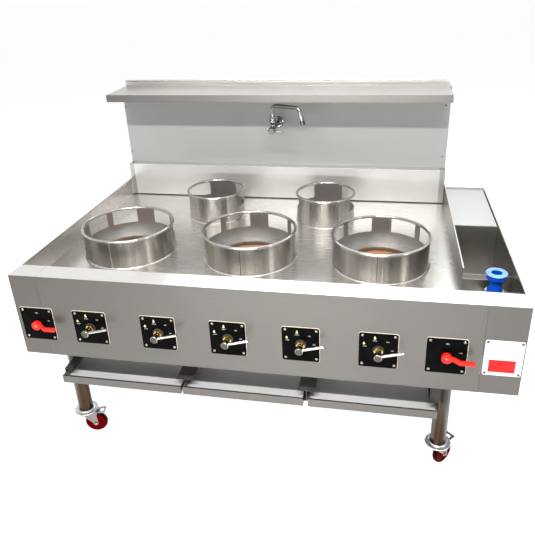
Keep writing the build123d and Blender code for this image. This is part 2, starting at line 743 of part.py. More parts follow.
# ---------------------------------------------------------------- tap
tap_z = rim + tap_rise
tap_front = panel_front - tap_reach
swivel_y = panel_front - swivel_reach
swivel_top = tap_z + swivel_rise
with BuildPart() as tap_body:
    with BuildSketch(Plane.XY.offset(tap_z)):
        with BuildLine():
            Polyline((tap_x, panel_front), (tap_x + 28, panel_front), (tap_x + 28, panel_front - 2),
                     (tap_x + 25, panel_front - 5), (tap_x + 19, panel_front - 6), (tap_x + 19, panel_front - 17),
                     (tap_x + 12, panel_front - 19), (tap_x + 12, swivel_y + 25), (tap_x + 16, swivel_y + 21),
                     (tap_x + 16, tap_front + 4), (tap_x + 13, tap_front), (tap_x, tap_front), close=True)
        make_face()
    revolve(axis=Axis((tap_x, 0, tap_z), (0, 1, 0)))
    with BuildSketch(Plane.XZ.offset(-swivel_y)):
        with BuildLine():
            Polyline((tap_x, tap_z), (tap_x + 11, tap_z), (tap_x + 11, tap_z + 22), (tap_x + 14, tap_z + 25),
                     (tap_x + 16, tap_z + 31), (tap_x + 16, tap_z + 37), (tap_x + 14, tap_z + 43),
                     (tap_x + 12, tap_z + 45), (tap_x + 12, swivel_top), (tap_x + 7.3, swivel_top),
                     (tap_x + 7.3, swivel_top - 16), (tap_x, swivel_top - 16), close=True)
        make_face()
    revolve(axis=Axis((tap_x, swivel_y, 0), (0, 0, 1)))
finish(tap_body, "tap_body")

spout_base = swivel_top + running_gap
turn = radians(spout_turn)
knee = (tap_x + spout_reach * cos(turn), swivel_y - spout_reach * sin(turn), tap_z + swivel_rise + spout_rise)
nozzle = (knee[0] + nozzle_reach * cos(turn), knee[1] - nozzle_reach * sin(turn), tap_z + nozzle_rise)
with BuildPart() as tap_spout:
    round_bar([(tap_x, swivel_y, spout_base + 12), (tap_x, swivel_y, knee[2]), knee, nozzle], spout_radius, 26)
    with BuildSketch(Plane.XZ.offset(-swivel_y)):
        with BuildLine():
            Polyline((tap_x, swivel_top - 15), (tap_x + 7, swivel_top - 15), (tap_x + 7, spout_base),
                     (tap_x + 12, spout_base), (tap_x + 12, spout_base + 10), (tap_x + 9, spout_base + 14),
                     (tap_x, spout_base + 14), close=True)
        make_face()
    revolve(axis=Axis((tap_x, swivel_y, 0), (0, 0, 1)))
    # aerator collar on the outlet, in line with the last run
    outlet = Vector(*nozzle)
    drop = (outlet - Vector(*knee)).normalized()
    with BuildSketch(Plane(origin=outlet - drop * 14, z_dir=drop)):
        Circle(11)
    extrude(amount=19)
finish(tap_spout, "tap_spout")

with BuildPart() as tap_handle:
    with BuildSketch(Plane.XY.offset(tap_z)):
        with BuildLine():
            Polyline((tap_x, tap_front - running_gap), (tap_x + 13, tap_front - running_gap),
                     (tap_x + 16, tap_front - 6), (tap_x + 16, tap_front - 18), (tap_x + 12, tap_front - 24),
                     (tap_x, tap_front - 24), close=True)
        make_face()
    revolve(axis=Axis((tap_x, 0, tap_z), (0, 1, 0)))
    lean = radians(tap_lever_tilt)
    along = Vector(cos(lean), 0, sin(lean))
    with BuildSketch(Plane(origin=Vector(tap_x, tap_front - 12, tap_z) - along * 25, z_dir=along)):
        Circle(4)
    extrude(amount=25 + tap_lever_length)
finish(tap_handle, "tap_handle")

# ---------------------------------------------------------------- wok rings
# Windows are cut above the lower band, between pillars, at angles that run clockwise from the rear.
window_low = {"large": 50, "small": 58}
windows = {"large": [(12.5, 46.5), (54.5, 88.5), (271.5, 305.5), (313.5, 347.5)],
           "small": [(30, 120), (240, 330)]}
for number, (x, y, kind) in enumerate(burners, 1):
    r = ring_radius[kind]
    ring_top = deck + ring_height[kind]
    bar_z = ring_top - ring_rod / 2
    with BuildPart() as ring_bar:
        with BuildSketch(Plane.XZ.offset(-y)):
            with Locations((x + r - ring_wall / 2, bar_z)):
                Circle(ring_rod / 2)
        revolve(axis=Axis((x, y, 0), (0, 0, 1)))
    with BuildPart() as ring_shell:
        with BuildSketch(Plane.XZ.offset(-y)):
            with BuildLine():
                Polyline((x + r - ring_wall, deck), (x + r + ring_bead, deck),
                         (x + r + ring_bead, deck + ring_bead / 2), (x + r, deck + ring_bead),
                         (x + r, bar_z), (x + r - ring_wall, bar_z), close=True)
            make_face()
        revolve(axis=Axis((x, y, 0), (0, 0, 1)))
        for start, end in windows[kind]:
            # wedge through the wall
            first, last = radians(90 - end), radians(90 - start)
            middle = (first + last) / 2
            reach = 1.5 * r
            with BuildSketch(Plane.XY.offset(deck + window_low[kind])):
                Polygon((x, y), (x + reach * cos(first), y + reach * sin(first)),
                        (x + 1.6 * reach * cos(middle), y + 1.6 * reach * sin(middle)),
                        (x + reach * cos(last), y + reach * sin(last)), align=None)
            extrude(amount=bar_z - deck - window_low[kind] + 1, mode=Mode.SUBTRACT)
        add(ring_bar.part, mode=Mode.SUBTRACT)
    wok_ring = Compound(label=f"wok_ring_{number}", children=[ring_shell.part, ring_bar.part])
    export_step(wok_ring, f"parts/wok_ring_{number}.step")

# ---------------------------------------------------------------- legs and casters
leg_plate = 6
with BuildPart() as legs:
    for x, y in leg_places:
        with BuildSketch(Plane.XY.offset(caster_height)):
            with Locations((x, y)):
                Circle(leg_radius)
                Circle(leg_radius - leg_wall, mode=Mode.SUBTRACT)
        extrude(amount=frame_bottom - leg_plate - caster_height)
        block(x - leg_radius, x + leg_radius, y - 45, y + 45, frame_bottom - leg_plate, frame_bottom)
finish(legs, "legs")

ring_bottom = caster_height - caster_ring_gauge
with BuildPart() as caster_rings:
    for x, y in leg_places:
        with BuildSketch(Plane.XZ.offset(-y)):
            with BuildLine():
                Polyline((x, ring_bottom), (x + caster_ring_diameter / 2 - 4, ring_bottom),
                         (x + caster_ring_diameter / 2, ring_bottom + 2),
                         (x + caster_ring_diameter / 2, caster_height - 1),
                         (x + caster_ring_diameter / 2 - 1, caster_height), (x + leg_radius + 6, caster_height),
                         (x + leg_radius + 4, caster_height + 6), (x + leg_radius + 0.3, caster_height + 6),
                         (x + leg_radius + 0.3, caster_height), (x, caster_height), close=True)
            make_face()
        revolve(axis=Axis((x, y, 0), (0, 0, 1)))
finish(caster_rings, "caster_rings")

wheel_radius = wheel_diameter / 2
fork_gauge = 3
fork_gap = 2
fork_in = wheel_width / 2 + fork_gap
fork_top = ring_bottom - running_gap
crown = 8
pedal_pin = 42                # swivel axis to the brake pedal's pin
pedal_z = fork_top - crown - 3.2
pin_radius = 2
pedal_width = 2 * fork_in - 1
casters = [("front_left", leg_places[0], 12), ("front_right", leg_places[1], 48),
           ("rear_left", leg_places[2], 180), ("rear_right", leg_places[3], 152)]
for name, (x, y), heading in casters:
    # u runs from the swivel axis towards the trailing wheel, v along the axle
    trail = Plane(origin=(x, y, 0), x_dir=(cos(radians(heading)), sin(radians(heading)), 0), z_dir=(0, 0, 1))
    side = Plane(origin=(x, y, 0), x_dir=trail.x_dir, z_dir=-trail.y_dir)
    with BuildPart() as caster_yoke:
        with BuildSketch(trail.offset(fork_top)):
            Circle(36)
        extrude(amount=-crown)
        for place in (fork_in, -fork_in - fork_gauge):
            with BuildSketch(side.offset(place)):
                with BuildLine():
                    l1 = Polyline((-30, fork_top - crown), (34, fork_top - crown), (36, fork_top - crown + 2),
                                  (48, fork_top - crown + 2), (48, pedal_z - 4),
                                  (caster_trail + 9, pedal_z - 13))
                    l2 = Line(l1 @ 1, (caster_trail + 11, wheel_radius + 2))
                    a1 = ThreePointArc(l2 @ 1, (caster_trail, wheel_radius - 11),
                                       (caster_trail - 11, wheel_radius + 2))
                    l3 = Line(a1 @ 1, l1 @ 0)
                make_face()
            extrude(amount=fork_gauge)
        # axle with its heads
        with BuildSketch(side.offset(-fork_in - fork_gauge - 5)):
            with Locations((caster_trail, wheel_radius)):
                Circle(axle_radius)
        extrude(amount=2 * (fork_in + fork_gauge + 5))
        if name.startswith("front"):
            with BuildSketch(side.offset(-fork_in - fork_gauge)):
                with Locations((pedal_pin, pedal_z)):
                    Circle(pin_radius)
            extrude(amount=2 * (fork_in + fork_gauge))
    finish(caster_yoke, f"caster_yoke_{name}")

    with BuildPart() as caster_wheel:
        axle_centre = side.from_local_coords(Vector(caster_trail, wheel_radius, 0))
        with BuildSketch(Plane(origin=axle_centre, x_dir=(0, 0, 1), z_dir=trail.x_dir)):
            with BuildLine():
                h = wheel_width / 2
                Polyline((axle_radius + axle_gap, -h), (18, -h), (20, -h + 4), (33, -h + 4), (36, -h + 1),
                         (wheel_radius - 5, -h + 1), (wheel_radius - 1, -h + 6), (wheel_radius, 0),
                         (wheel_radius - 1, h - 6), (wheel_radius - 5, h - 1), (36, h - 1), (33, h - 4),
                         (20, h - 4), (18, h), (axle_radius + axle_gap, h), close=True)
            make_face()
        revolve(axis=Axis(axle_centre, side.z_dir))
    finish(caster_wheel, f"caster_wheel_{name}")

    if name.startswith("front"):
        with BuildPart() as brake_pedal:
            with BuildSketch(side.offset(-pedal_width / 2)):
                with Locations((pedal_pin, pedal_z)):
                    Circle(pin_radius + 1.6)
                Polygon((pedal_pin, pedal_z + 0.6), (pedal_pin + 14, pedal_z + 0.6),
                        (pedal_pin + 14, pedal_z + 3.6), (pedal_pin, pedal_z + 3.6), align=None)
                with Locations((pedal_pin, pedal_z)):
                    Circle(pin_radius + axle_gap, mode=Mode.SUBTRACT)
            extrude(amount=pedal_width)
            # foot plate with its turned-down toe and a window
            with BuildSketch(side.offset(-pedal_width / 2 - 5)):
                Polygon((pedal_pin + 10, pedal_z + 0.6), (pedal_pin + 40, pedal_z + 2.5),
                        (pedal_pin + 46, pedal_z - 3), (pedal_pin + 48, pedal_z - 1.5),
                        (pedal_pin + 42, pedal_z + 5.5), (pedal_pin + 10, pedal_z + 3.6), align=None)
            extrude(amount=pedal_width + 10)
            with BuildSketch(trail.offset(pedal_z - 6)):
                with Locations((pedal_pin + 25, 0)):
                    RectangleRounded(17, 20, 2)
            extrude(amount=20, mode=Mode.SUBTRACT)
        finish(brake_pedal, f"brake_pedal_{name}")

# ---------------------------------------------------------------- drip trays and runners
tray_top = rim - tray_top_drop
tray_bottom = tray_top - tray_height
tray_left = leg_left_x + tray_leg_gap[0]
tray_right = leg_right_x - tray_leg_gap[1]
split_left, split_right = [tray_left + part * (tray_right - tray_left) for part in tray_splits]
gap_left, gap_right = [gap / 2 for gap in tray_splits_width]
tray_edges = [(tray_left, split_left - gap_left), (split_left + gap_left, split_right - gap_right),
              (split_right + gap_right, tray_right)]
for name, (x0, x1) in zip(("left", "middle", "right"), tray_edges):
    with BuildPart() as drip_tray:
        block(x0, x1, front, front + tray_depth, tray_bottom, tray_top)
        block(x0 + tray_gauge, x1 - tray_gauge, front + tray_gauge, front + tray_depth - tray_gauge,
              tray_bottom + tray_gauge, tray_top, mode=Mode.SUBTRACT)
        # turned-in edge of the front lip
        block(x0, x1, front, front + 8, tray_top - tray_gauge, tray_top)
    finish(drip_tray, f"drip_tray_{name}")

runner_low = tray_bottom - tray_gap
runner_high = tray_top + runner_rise
runner_front = front + runner_setback
runner_back = front + tray_depth
# the outer runners lie against the legs, the inner ones hang from the base frame
webs = [(leg_left_x + leg_radius, -1), (split_left - gauge / 2, 0), (split_right - gauge / 2, 0),
        (leg_right_x - leg_radius - gauge, 1)]
flats = []


def runner_flat(x0, x1, y0, y1, z0, z1):
    """One flat of a runner, butted against its neighbours."""
    with BuildPart() as flat:
        block(x0, x1, y0, y1, z0, z1)
    flats.append(flat.part)


for x, side in webs:
    top = frame_bottom if side > 0 else runner_high
    runner_flat(x, x + gauge, runner_front, runner_back, runner_low - gauge, top)
    for z in (runner_low, runner_high):
        if side >= 0:
            runner_flat(x - runner_flange, x, runner_front, runner_back, z - gauge, z)
        if side <= 0:
            runner_flat(x + gauge, x + gauge + runner_flange, runner_front, runner_back, z - gauge, z)
    if not side:
        for y in hanger_bars:
            runner_flat(x, x + gauge, y, y + frame_bar, runner_high, frame_bottom)
    if side > 0:
        # front end of the right runner, closed up to the frame
        runner_flat(x - runner_flange, x, runner_front, runner_front + gauge, runner_high, frame_bottom)
tray_runners = Compound(label="tray_runners", children=flats)
export_step(tray_runners, "parts/tray_runners.step")
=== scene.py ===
# %% [markdown]
# # A stainless wok range
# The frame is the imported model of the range: every sheet, tube and lever is already in place, in metres, with +Z up
# and the controls facing -Y. This lesson gives each piece its finish, rounds the edges that a folding press or a
# welder would leave round, and adds the small things that a CAD part leaves out: screws, weld beads, printed marks.

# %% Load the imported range
import json
from math import atan2, cos, degrees, pi, radians, sin

import bmesh
import bpy
from mathutils import Matrix, Vector


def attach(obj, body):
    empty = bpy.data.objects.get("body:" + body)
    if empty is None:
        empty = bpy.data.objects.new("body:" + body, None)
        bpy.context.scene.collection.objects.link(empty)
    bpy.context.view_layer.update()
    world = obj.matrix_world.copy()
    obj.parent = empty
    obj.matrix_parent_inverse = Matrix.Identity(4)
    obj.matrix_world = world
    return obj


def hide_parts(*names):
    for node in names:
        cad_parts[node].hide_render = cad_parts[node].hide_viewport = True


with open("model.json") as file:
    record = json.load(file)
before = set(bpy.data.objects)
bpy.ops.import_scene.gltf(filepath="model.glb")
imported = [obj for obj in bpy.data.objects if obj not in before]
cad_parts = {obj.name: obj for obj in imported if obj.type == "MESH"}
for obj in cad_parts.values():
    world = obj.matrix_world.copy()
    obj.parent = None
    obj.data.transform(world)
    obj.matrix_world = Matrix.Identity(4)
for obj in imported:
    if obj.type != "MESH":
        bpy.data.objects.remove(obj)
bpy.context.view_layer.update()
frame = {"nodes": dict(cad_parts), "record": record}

# %% [markdown]
# ## Finishes
# Every finish here is a small node tree on Object coordinates. An image would need to be unwrapped onto each sheet,
# and a noise in the object's own space needs nothing and runs on across a seam. These helpers make the few nodes that
# all the finishes share: a noise, a range of numbers from it, a colour from it, and a bump.

# %% Helpers for node trees
def new_finish(name, metallic=0.0, roughness=0.5, **sockets):
    """A material with its Principled shader, and its numbers set on the shader's own sockets."""
    finish = bpy.data.materials.new(name)
    finish.use_nodes = True
    shader = finish.node_tree.nodes["Principled BSDF"]
    shader.inputs["Metallic"].default_value = metallic
    shader.inputs["Roughness"].default_value = roughness
    for socket, value in sockets.items():
        shader.inputs[socket.replace("_", " ")].default_value = value
    return finish, shader


def pattern(finish, scale, detail=2.0, stretch=(1, 1, 1), shift=(0, 0, 0)):
    """A noise on Object coordinates; stretch is large across the grain and small along it."""
    nodes, links = finish.node_tree.nodes, finish.node_tree.links
    place = nodes.new("ShaderNodeTexCoord")
    mapping = nodes.new("ShaderNodeMapping")
    mapping.inputs["Scale"].default_value = stretch
    mapping.inputs["Location"].default_value = shift
    noise = nodes.new("ShaderNodeTexNoise")
    noise.inputs["Scale"].default_value = scale
    noise.inputs["Detail"].default_value = detail
    links.new(place.outputs["Object"], mapping.inputs["Vector"])
    links.new(mapping.outputs["Vector"], noise.inputs["Vector"])
    return noise.outputs["Fac"]


def spread(finish, value, low, high, start=0.3, end=0.7):
    """Maps the middle of a noise to a range of numbers."""
    node = finish.node_tree.nodes.new("ShaderNodeMapRange")
    node.inputs["From Min"].default_value = start
    node.inputs["From Max"].default_value = end
    node.inputs["To Min"].default_value = low
    node.inputs["To Max"].default_value = high
    finish.node_tree.links.new(value, node.inputs["Value"])
    return node.outputs["Result"]


def tint(finish, factor, dark, light):
    """A colour between two, by a factor from 0 to 1. Either end may be a socket."""
    node = finish.node_tree.nodes.new("ShaderNodeMix")
    node.data_type = "RGBA"
    finish.node_tree.links.new(factor, node.inputs["Factor"])
    first_colour, second_colour, result = node.inputs[6], node.inputs[7], node.outputs[2]
    for socket, colour in ((first_colour, dark), (second_colour, light)):
        if isinstance(colour, tuple):
            socket.default_value = (*colour, 1)
        else:
            finish.node_tree.links.new(colour, socket)
    return result


def relief(finish, shader, height, depth):
    """Bump on the shader, depth in metres."""
    node = finish.node_tree.nodes.new("ShaderNodeBump")
    node.inputs["Distance"].default_value = depth
    finish.node_tree.links.new(height, node.inputs["Height"])
    finish.node_tree.links.new(node.outputs["Normal"], shader.inputs["Normal"])


# %% [markdown]
# Brushed stainless is nearly all metal with a fine grain. A noise that is stretched along the sheet gives the lines,
# and a slow, cloudy noise gives the tone that varies over a large sheet. The same fine noise nudges roughness and
# bump, so the lines catch the light and aren't just drawn on. The grain also draws every highlight out across itself.
# Bump that is fine enough for this would flicker, so an anisotropic shader does it, given the direction.
#
# The colours are darker than polished steel, because the floor and the room that the metal shows are white. Most of
# them are a little warm, which is a painted reflection of a brownish floor.

# %% Brushed stainless
ALONG_X, ALONG_Y, ALONG_Z = (1, 60, 60), (60, 1, 60), (60, 60, 1)
EVEN = (1, 1, 1)
UP = (0, 0, 1)
GRAIN_DEPTH = 0.000006


def brushed(name, colour, roughness, grain=ALONG_X, contrast=0.08, cloud=0.12, lines=16, metallic=1.0, draw=None,
            pull=0.6):
    """Brushed sheet: fine lines along the grain, slow clouds of tone, highlights drawn out along a direction."""
    finish, shader = new_finish(name, metallic=metallic)
    links = finish.node_tree.links
    fine = pattern(finish, lines, 3.0, grain)
    slow = pattern(finish, 2.2, 2.0, EVEN, (3.1, 1.7, 0.4))
    dark = tuple(c * (1 - contrast) for c in colour)
    light = tuple(min(c * (1 + contrast), 1) for c in colour)
    lined = tint(finish, spread(finish, fine, 0, 1), dark, light)
    shade = tuple(c * (1 - cloud) for c in colour)
    clouded = tint(finish, spread(finish, slow, 0, 0.6), lined, shade)
    links.new(clouded, shader.inputs["Base Color"])
    links.new(spread(finish, fine, roughness - 0.02, roughness + 0.03), shader.inputs["Roughness"])
    relief(finish, shader, fine, GRAIN_DEPTH)
    if draw:
        direction = finish.node_tree.nodes.new("ShaderNodeCombineXYZ")
        for socket, value in zip(direction.inputs, draw):
            socket.default_value = value
        links.new(direction.outputs["Vector"], shader.inputs["Tangent"])
        shader.inputs["Anisotropic"].default_value = pull
    return finish


# the body and the deck
fascia_steel = brushed("fascia steel", (0.152, 0.144, 0.134), 0.36, contrast=0.05, cloud=0.14, draw=UP)
# the flat tops of the rails and rims are the fascia's own sheet, painted light
rail_painted_light = brushed("rail steel, painted light", (0.76, 0.75, 0.735), 0.28, contrast=0.03, cloud=0.06, metallic=0.9)
end_steel = brushed("fascia end steel", (0.138, 0.130, 0.121), 0.36, ALONG_Z, 0.06)
deck_steel = brushed("deck steel", (0.76, 0.74, 0.71), 0.25, contrast=0.02, cloud=0.14, metallic=0.9)
# painted light on the left side panel's inner faces; the outer faces keep the darker tone below
inner_side_painted_light = brushed("side steel", (0.62, 0.60, 0.57), 0.28, ALONG_Y, metallic=0.9)
outer_steel = brushed("outer side steel", (0.27, 0.26, 0.245), 0.34, ALONG_Y, 0.05)
back_steel = brushed("back steel", (0.27, 0.262, 0.25), 0.36, contrast=0.05)

# the splashback; its large panel is dull, so that finish is hardly metallic
splash_steel = brushed("splash steel", (0.305, 0.30, 0.29), 0.42, contrast=0.04, cloud=0.10, metallic=0.15)
box_steel = brushed("splash box steel", (0.60, 0.59, 0.572), 0.36, contrast=0.04, cloud=0.10, metallic=0.7)
post_steel = brushed("post steel", (0.42, 0.405, 0.39), 0.32, ALONG_Z, 0.12, metallic=0.9)
shelf_steel = brushed("shelf steel", (0.50, 0.483, 0.46), 0.30, contrast=0.06, metallic=0.9)
# the shelf's front lip is the shelf's own sheet, painted darker as shade
lip_painted_shade = brushed("shelf lip painted shade", (0.165, 0.157, 0.148), 0.34, contrast=0.06, metallic=0.9)

# the trough
trough_steel = brushed("trough steel", (0.35, 0.335, 0.31), 0.30, ALONG_Y, 0.08, metallic=0.9)
# the divider's face to the deck is darker than the trough, with broad upright streaks
divider_steel = brushed("divider steel", (0.20, 0.185, 0.17), 0.30, ALONG_Z, 0.35, lines=0.5, metallic=0.9)
weir_steel = brushed("weir ledge steel", (0.13, 0.12, 0.11), 0.34, contrast=0.1, metallic=0.9)
cover_steel = brushed("cover steel", (0.64, 0.645, 0.65), 0.30, ALONG_Y, 0.04, cloud=0.06)

# trays, frame, legs and pipes
tray_steel = brushed("tray steel", (0.15, 0.14, 0.13), 0.34, contrast=0.07, cloud=0.2, metallic=0.85)
# the trays' floors, painted light
tray_floor_painted_light = brushed("tray floor steel, painted light", (0.76, 0.75, 0.73), 0.40, contrast=0.04, cloud=0.3, metallic=0.2)
# the legs' brown tone and broad upright bands are a painted reflection of a brownish floor
leg_painted_reflection = brushed("leg steel, painted reflection", (0.055, 0.032, 0.020), 0.18, ALONG_Z, 0.55, lines=2.2)
shaded_steel = brushed("shaded frame steel", (0.035, 0.033, 0.03), 0.5, contrast=0.2, metallic=0.5)
frame_steel = brushed("frame steel", (0.16, 0.155, 0.15), 0.40, contrast=0.10, cloud=0.20, metallic=0.8)
pipe_steel = brushed("pipe steel", (0.25, 0.245, 0.24), 0.42, contrast=0.06, cloud=0.3)
print("finishes for sheet:", len(bpy.data.materials))

# %% [markdown]
# The wok rings are rolled from strip. Heat has drawn upright streaks on their outer faces, so those get a noise that
# is slow in Z, and highlights that are drawn out upwards. Their inner faces still show the grain that runs round the
# ring, which is a noise that is quick in Z and slow in X and Y.

# %% Rings, welds and small metal pieces
ROUND = (5, 5, 110)
UPRIGHT = (40, 40, 2)
SPECKLED = (20, 20, 20)
ring_steel = brushed("ring steel", (0.385, 0.362, 0.325), 0.22, UPRIGHT, 0.12, 0.2, 1.2, metallic=0.95, draw=UP,
                     pull=0.8)
# the small rings at the back take a lighter copy of the ring colour, which is painted light
small_ring_painted_light = brushed("small ring steel, painted light", (0.52, 0.495, 0.455), 0.22, UPRIGHT, 0.12, 0.2, 1.6, metallic=0.95,
                           draw=UP, pull=0.8)
ring_inner = brushed("ring inner steel", (0.36, 0.348, 0.33), 0.36, ROUND, 0.06, 0.3, metallic=0.8)
rod_steel = brushed("ring rod steel", (0.52, 0.50, 0.475), 0.16, EVEN, 0.05, lines=30)
# weld beads, and also the bright rods on the weir's edges, which are painted highlights
bead_and_highlight_steel = brushed("weld bead and edge highlight steel", (0.70, 0.68, 0.65), 0.24, EVEN, 0.2, lines=90)
dark_weld = brushed("heat tinted weld", (0.11, 0.09, 0.075), 0.34, EVEN, 0.2, lines=90)
ring_zinc = brushed("bright zinc", (0.62, 0.62, 0.63), 0.30, (60, 60, 60), 0.25, lines=1, metallic=0.85)
tap_chrome = brushed("tap chrome", (0.30, 0.295, 0.29), 0.08, SPECKLED, 0.2)
yoke_plate = brushed("yoke plate", (0.25, 0.205, 0.20), 0.26, SPECKLED, 0.2)
dark_chrome = brushed("darkened chrome", (0.075, 0.072, 0.07), 0.16, SPECKLED, 0.2)
hub_face = brushed("turned lever face", (0.10, 0.082, 0.068), 0.38, (30, 30, 30), contrast=0.1, lines=20)
print("finishes for metal:", len(bpy.data.materials))

# %% [markdown]
# The rest has no grain, only a colour and a gloss that vary a little: plated and cast metal, the enamel of the control
# plates, the moulded red levers and wheels, and the blue standpipe that is paler at its rim. One helper makes all
# of these from a noise. The fire brick needs two noises, a fine one for its grit and a slow one for its scorching.

# %% Plating, enamel, plastics and brick
def mottled(name, dark, light, smooth, rough, scale, detail=3.0, bump=0.0, **sockets):
    """A finish whose colour and gloss follow one noise."""
    finish, shader = new_finish(name, **sockets)
    grain = pattern(finish, scale, detail)
    finish.node_tree.links.new(tint(finish, spread(finish, grain, 0, 1), dark, light), shader.inputs["Base Color"])
    finish.node_tree.links.new(spread(finish, grain, smooth, rough), shader.inputs["Roughness"])
    if bump:
        relief(finish, shader, grain, bump)
    return finish


def coated(name, dark, light, roughness, scale=25, bump=0.0, **sockets):
    """A coat or moulding: a roughness that varies by about a fifth."""
    return mottled(name, dark, light, roughness * 0.8, roughness * 1.25, scale, bump=bump, **sockets)


zinc = mottled("zinc plate", (0.22, 0.222, 0.228), (0.38, 0.384, 0.395), 0.16, 0.30, 60, 2.0, metallic=1.0)
chrome = mottled("chrome", (0.42, 0.41, 0.395), (0.54, 0.53, 0.515), 0.05, 0.13, 40, metallic=1.0)
brass = mottled("brass", (0.52, 0.33, 0.08), (0.75, 0.52, 0.18), 0.2, 0.34, 50, 2.0, metallic=1.0)
soot_iron = coated("burner iron", (0.020, 0.018, 0.016), (0.075, 0.060, 0.045), 0.6, 40, bump=0.0003, metallic=0.6)
screw_steel = coated("screw steel", (0.22, 0.19, 0.17), (0.36, 0.32, 0.285), 0.26, 80, metallic=1.0)
dark_screw = coated("browned screw", (0.10, 0.07, 0.05), (0.20, 0.15, 0.11), 0.34, 80, metallic=1.0)

black_enamel = coated("black enamel", (0.0015,) * 3, (0.003,) * 3, 0.25, Specular_IOR_Level=0.02)
plate_edge = coated("plate edge", (0.58, 0.52, 0.40), (0.72, 0.66, 0.53), 0.4, metallic=0.3)
flame_paint = coated("pale yellow print", (0.80, 0.62, 0.25), (0.92, 0.76, 0.42), 0.5, 60)
white_print = coated("white print", (0.62, 0.62, 0.61), (0.78, 0.78, 0.77), 0.5, 60)
white_enamel = coated("white enamel", (0.68, 0.67, 0.67), (0.76, 0.75, 0.75), 0.3, 8)
red_enamel = coated("red enamel", (0.50, 0.008, 0.010), (0.62, 0.014, 0.014), 0.3, 12, Specular_IOR_Level=0.2)

# black rubber, and also the painted shade in the two slots of each red lever's grip
black_rubber_and_slot_shade = coated("black rubber and slot shade", (0.012, 0.012, 0.012), (0.022, 0.022, 0.021), 0.55)
red_plastic = coated("red plastic", (0.66, 0.012, 0.004), (0.78, 0.020, 0.007), 0.22, 18, Specular_IOR_Level=0.25)
blue_plastic = coated("blue plastic", (0.001, 0.042, 0.36), (0.002, 0.075, 0.48), 0.34, 22, Specular_IOR_Level=0.12)
blue_rim = coated("pale blue rim", (0.16, 0.38, 0.86), (0.28, 0.50, 0.95), 0.42, 30, Specular_IOR_Level=0.3)
wheel_side = coated("red wheel side", (0.075, 0.0004, 0.0006), (0.125, 0.0008, 0.001), 0.40, 14,
                    Specular_IOR_Level=0.01)
wheel_tread = coated("dark wheel tread", (0.020, 0.0006, 0.0006), (0.036, 0.0008, 0.0008), 0.36, 20,
                     Specular_IOR_Level=0.02)

fire_brick, shader = new_finish("fire brick", roughness=0.9)
grit = pattern(fire_brick, 180, 3.0)
scorch = pattern(fire_brick, 14, 4.0)
baked = tint(fire_brick, spread(fire_brick, scorch, 0, 1, 0.35, 0.65), (0.42, 0.20, 0.085), (0.20, 0.085, 0.045))
speckled = tint(fire_brick, spread(fire_brick, grit, 0, 0.7, 0.5, 0.7), baked, (0.60, 0.42, 0.24))
fire_brick.node_tree.links.new(speckled, shader.inputs["Base Color"])
relief(fire_brick, shader, grit, 0.0012)
print("finishes:", len(bpy.data.materials))

# %% [markdown]
# ## Dressing a node
# A CAD node arrives as loose triangles, which can only be shaded flat. A copy of it, with its doubles merged and its
# coplanar triangles dissolved, can be shaded smooth and take a Bevel modifier, and then stands in for the node.
# Folded sheet gets a bevel of about its own thickness, because a press brake leaves a small radius on every fold.

# %% Helpers that finish and dress pieces
SMOOTH_BELOW = radians(35)


def add_piece(name, shape, body, finishes, bevel=0.0, segments=2):
    """A mesh object from a bmesh, on a body, smooth except at its sharp edges, which may be rounded."""
    mesh = bpy.data.meshes.new(name)
    shape.to_mesh(mesh)
    shape.free()
    piece = bpy.data.objects.new(name, mesh)
    bpy.context.scene.collection.objects.link(piece)
    for finish in finishes if isinstance(finishes, (list, tuple)) else [finishes]:
        mesh.materials.append(finish)
    mesh.shade_smooth()
    mesh.set_sharp_from_angle(angle=SMOOTH_BELOW)
    if bevel:
        rounding = piece.modifiers.new("rounded edges", "BEVEL")
        rounding.width = bevel
        rounding.segments = segments
        rounding.limit_method = "ANGLE"
        rounding.angle_limit = SMOOTH_BELOW
        rounding.harden_normals = True
        rounding.use_clamp_overlap = True
    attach(piece, body)
    return piece


def merged(node):
    """A clean copy of a CAD node's mesh: doubles merged and flat areas made one face."""
    shape = bmesh.new()
    shape.from_mesh(frame["nodes"][node].data)
    bmesh.ops.remove_doubles(shape, verts=shape.verts, dist=0.00001)
    bmesh.ops.dissolve_limit(shape, angle_limit=radians(0.5), verts=shape.verts, edges=shape.edges)
    for face in shape.faces:
        face.material_index = 0
    return shape


body_of = {node: body for body, members in frame["record"]["behaviour"]["bodies"].items() for node in members}


def dress(node, finish, bevel=0.0, segments=2, shape=None):
    """The finished piece that stands for a CAD node."""
    piece = add_piece(node + "_finished", shape or merged(node), body_of[node], finish, bevel, segments)
    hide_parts(node)
    return piece


def two_tone(node, chosen, finishes, bevel=0.0, segments=2):
    """A dressed node whose faces take the finish that a test picks by their centre and normal."""
    shape = merged(node)
    for face in shape.faces:
        face.material_index = int(chosen(face.calc_center_median(), face.normal))
    return dress(node, finishes, bevel, segments, shape)


def paint(node, finish):
    """A node whose CAD shape is right gets its finish on its own material slots."""
    for slot in frame["nodes"][node].material_slots:
        slot.material = finish
    if not frame["nodes"][node].material_slots:
        frame["nodes"][node].data.materials.append(finish)


# %% [markdown]
# ## Sheet metal
# The large sheets are right as they are in the CAD model, so each is dressed: its folds are rounded and it gets a
# finish whose grain runs the way the sheet was cut. Some faces of one sheet get another colour: the flat tops of the
# rails and rims are painted light, the shelf's front lip is painted shade, and the divider's face to the deck is
# darker, with broad upright streaks. A test on each face picks those, which keeps the sheet one piece.

# %% Dress the sheets
FACING = 0.9  # a face whose normal has more than this along an axis faces that way
rim_above, divider_before = 0.85, 0.7175
lip_below, tray_floor_below, shaded_from = 1.32, 0.41, 0.6


def on_rim(place, facing):
    """The flat tops of rails and hems, at the height of the rim."""
    return facing.z > FACING and place.z > rim_above


def trough_part(place, facing):
    """1 for the rim, 2 for the divider's face to the deck, 0 for the rest."""
    if on_rim(place, facing):
        return 1
    return 2 if facing.x < -FACING and place.x < divider_before else 0


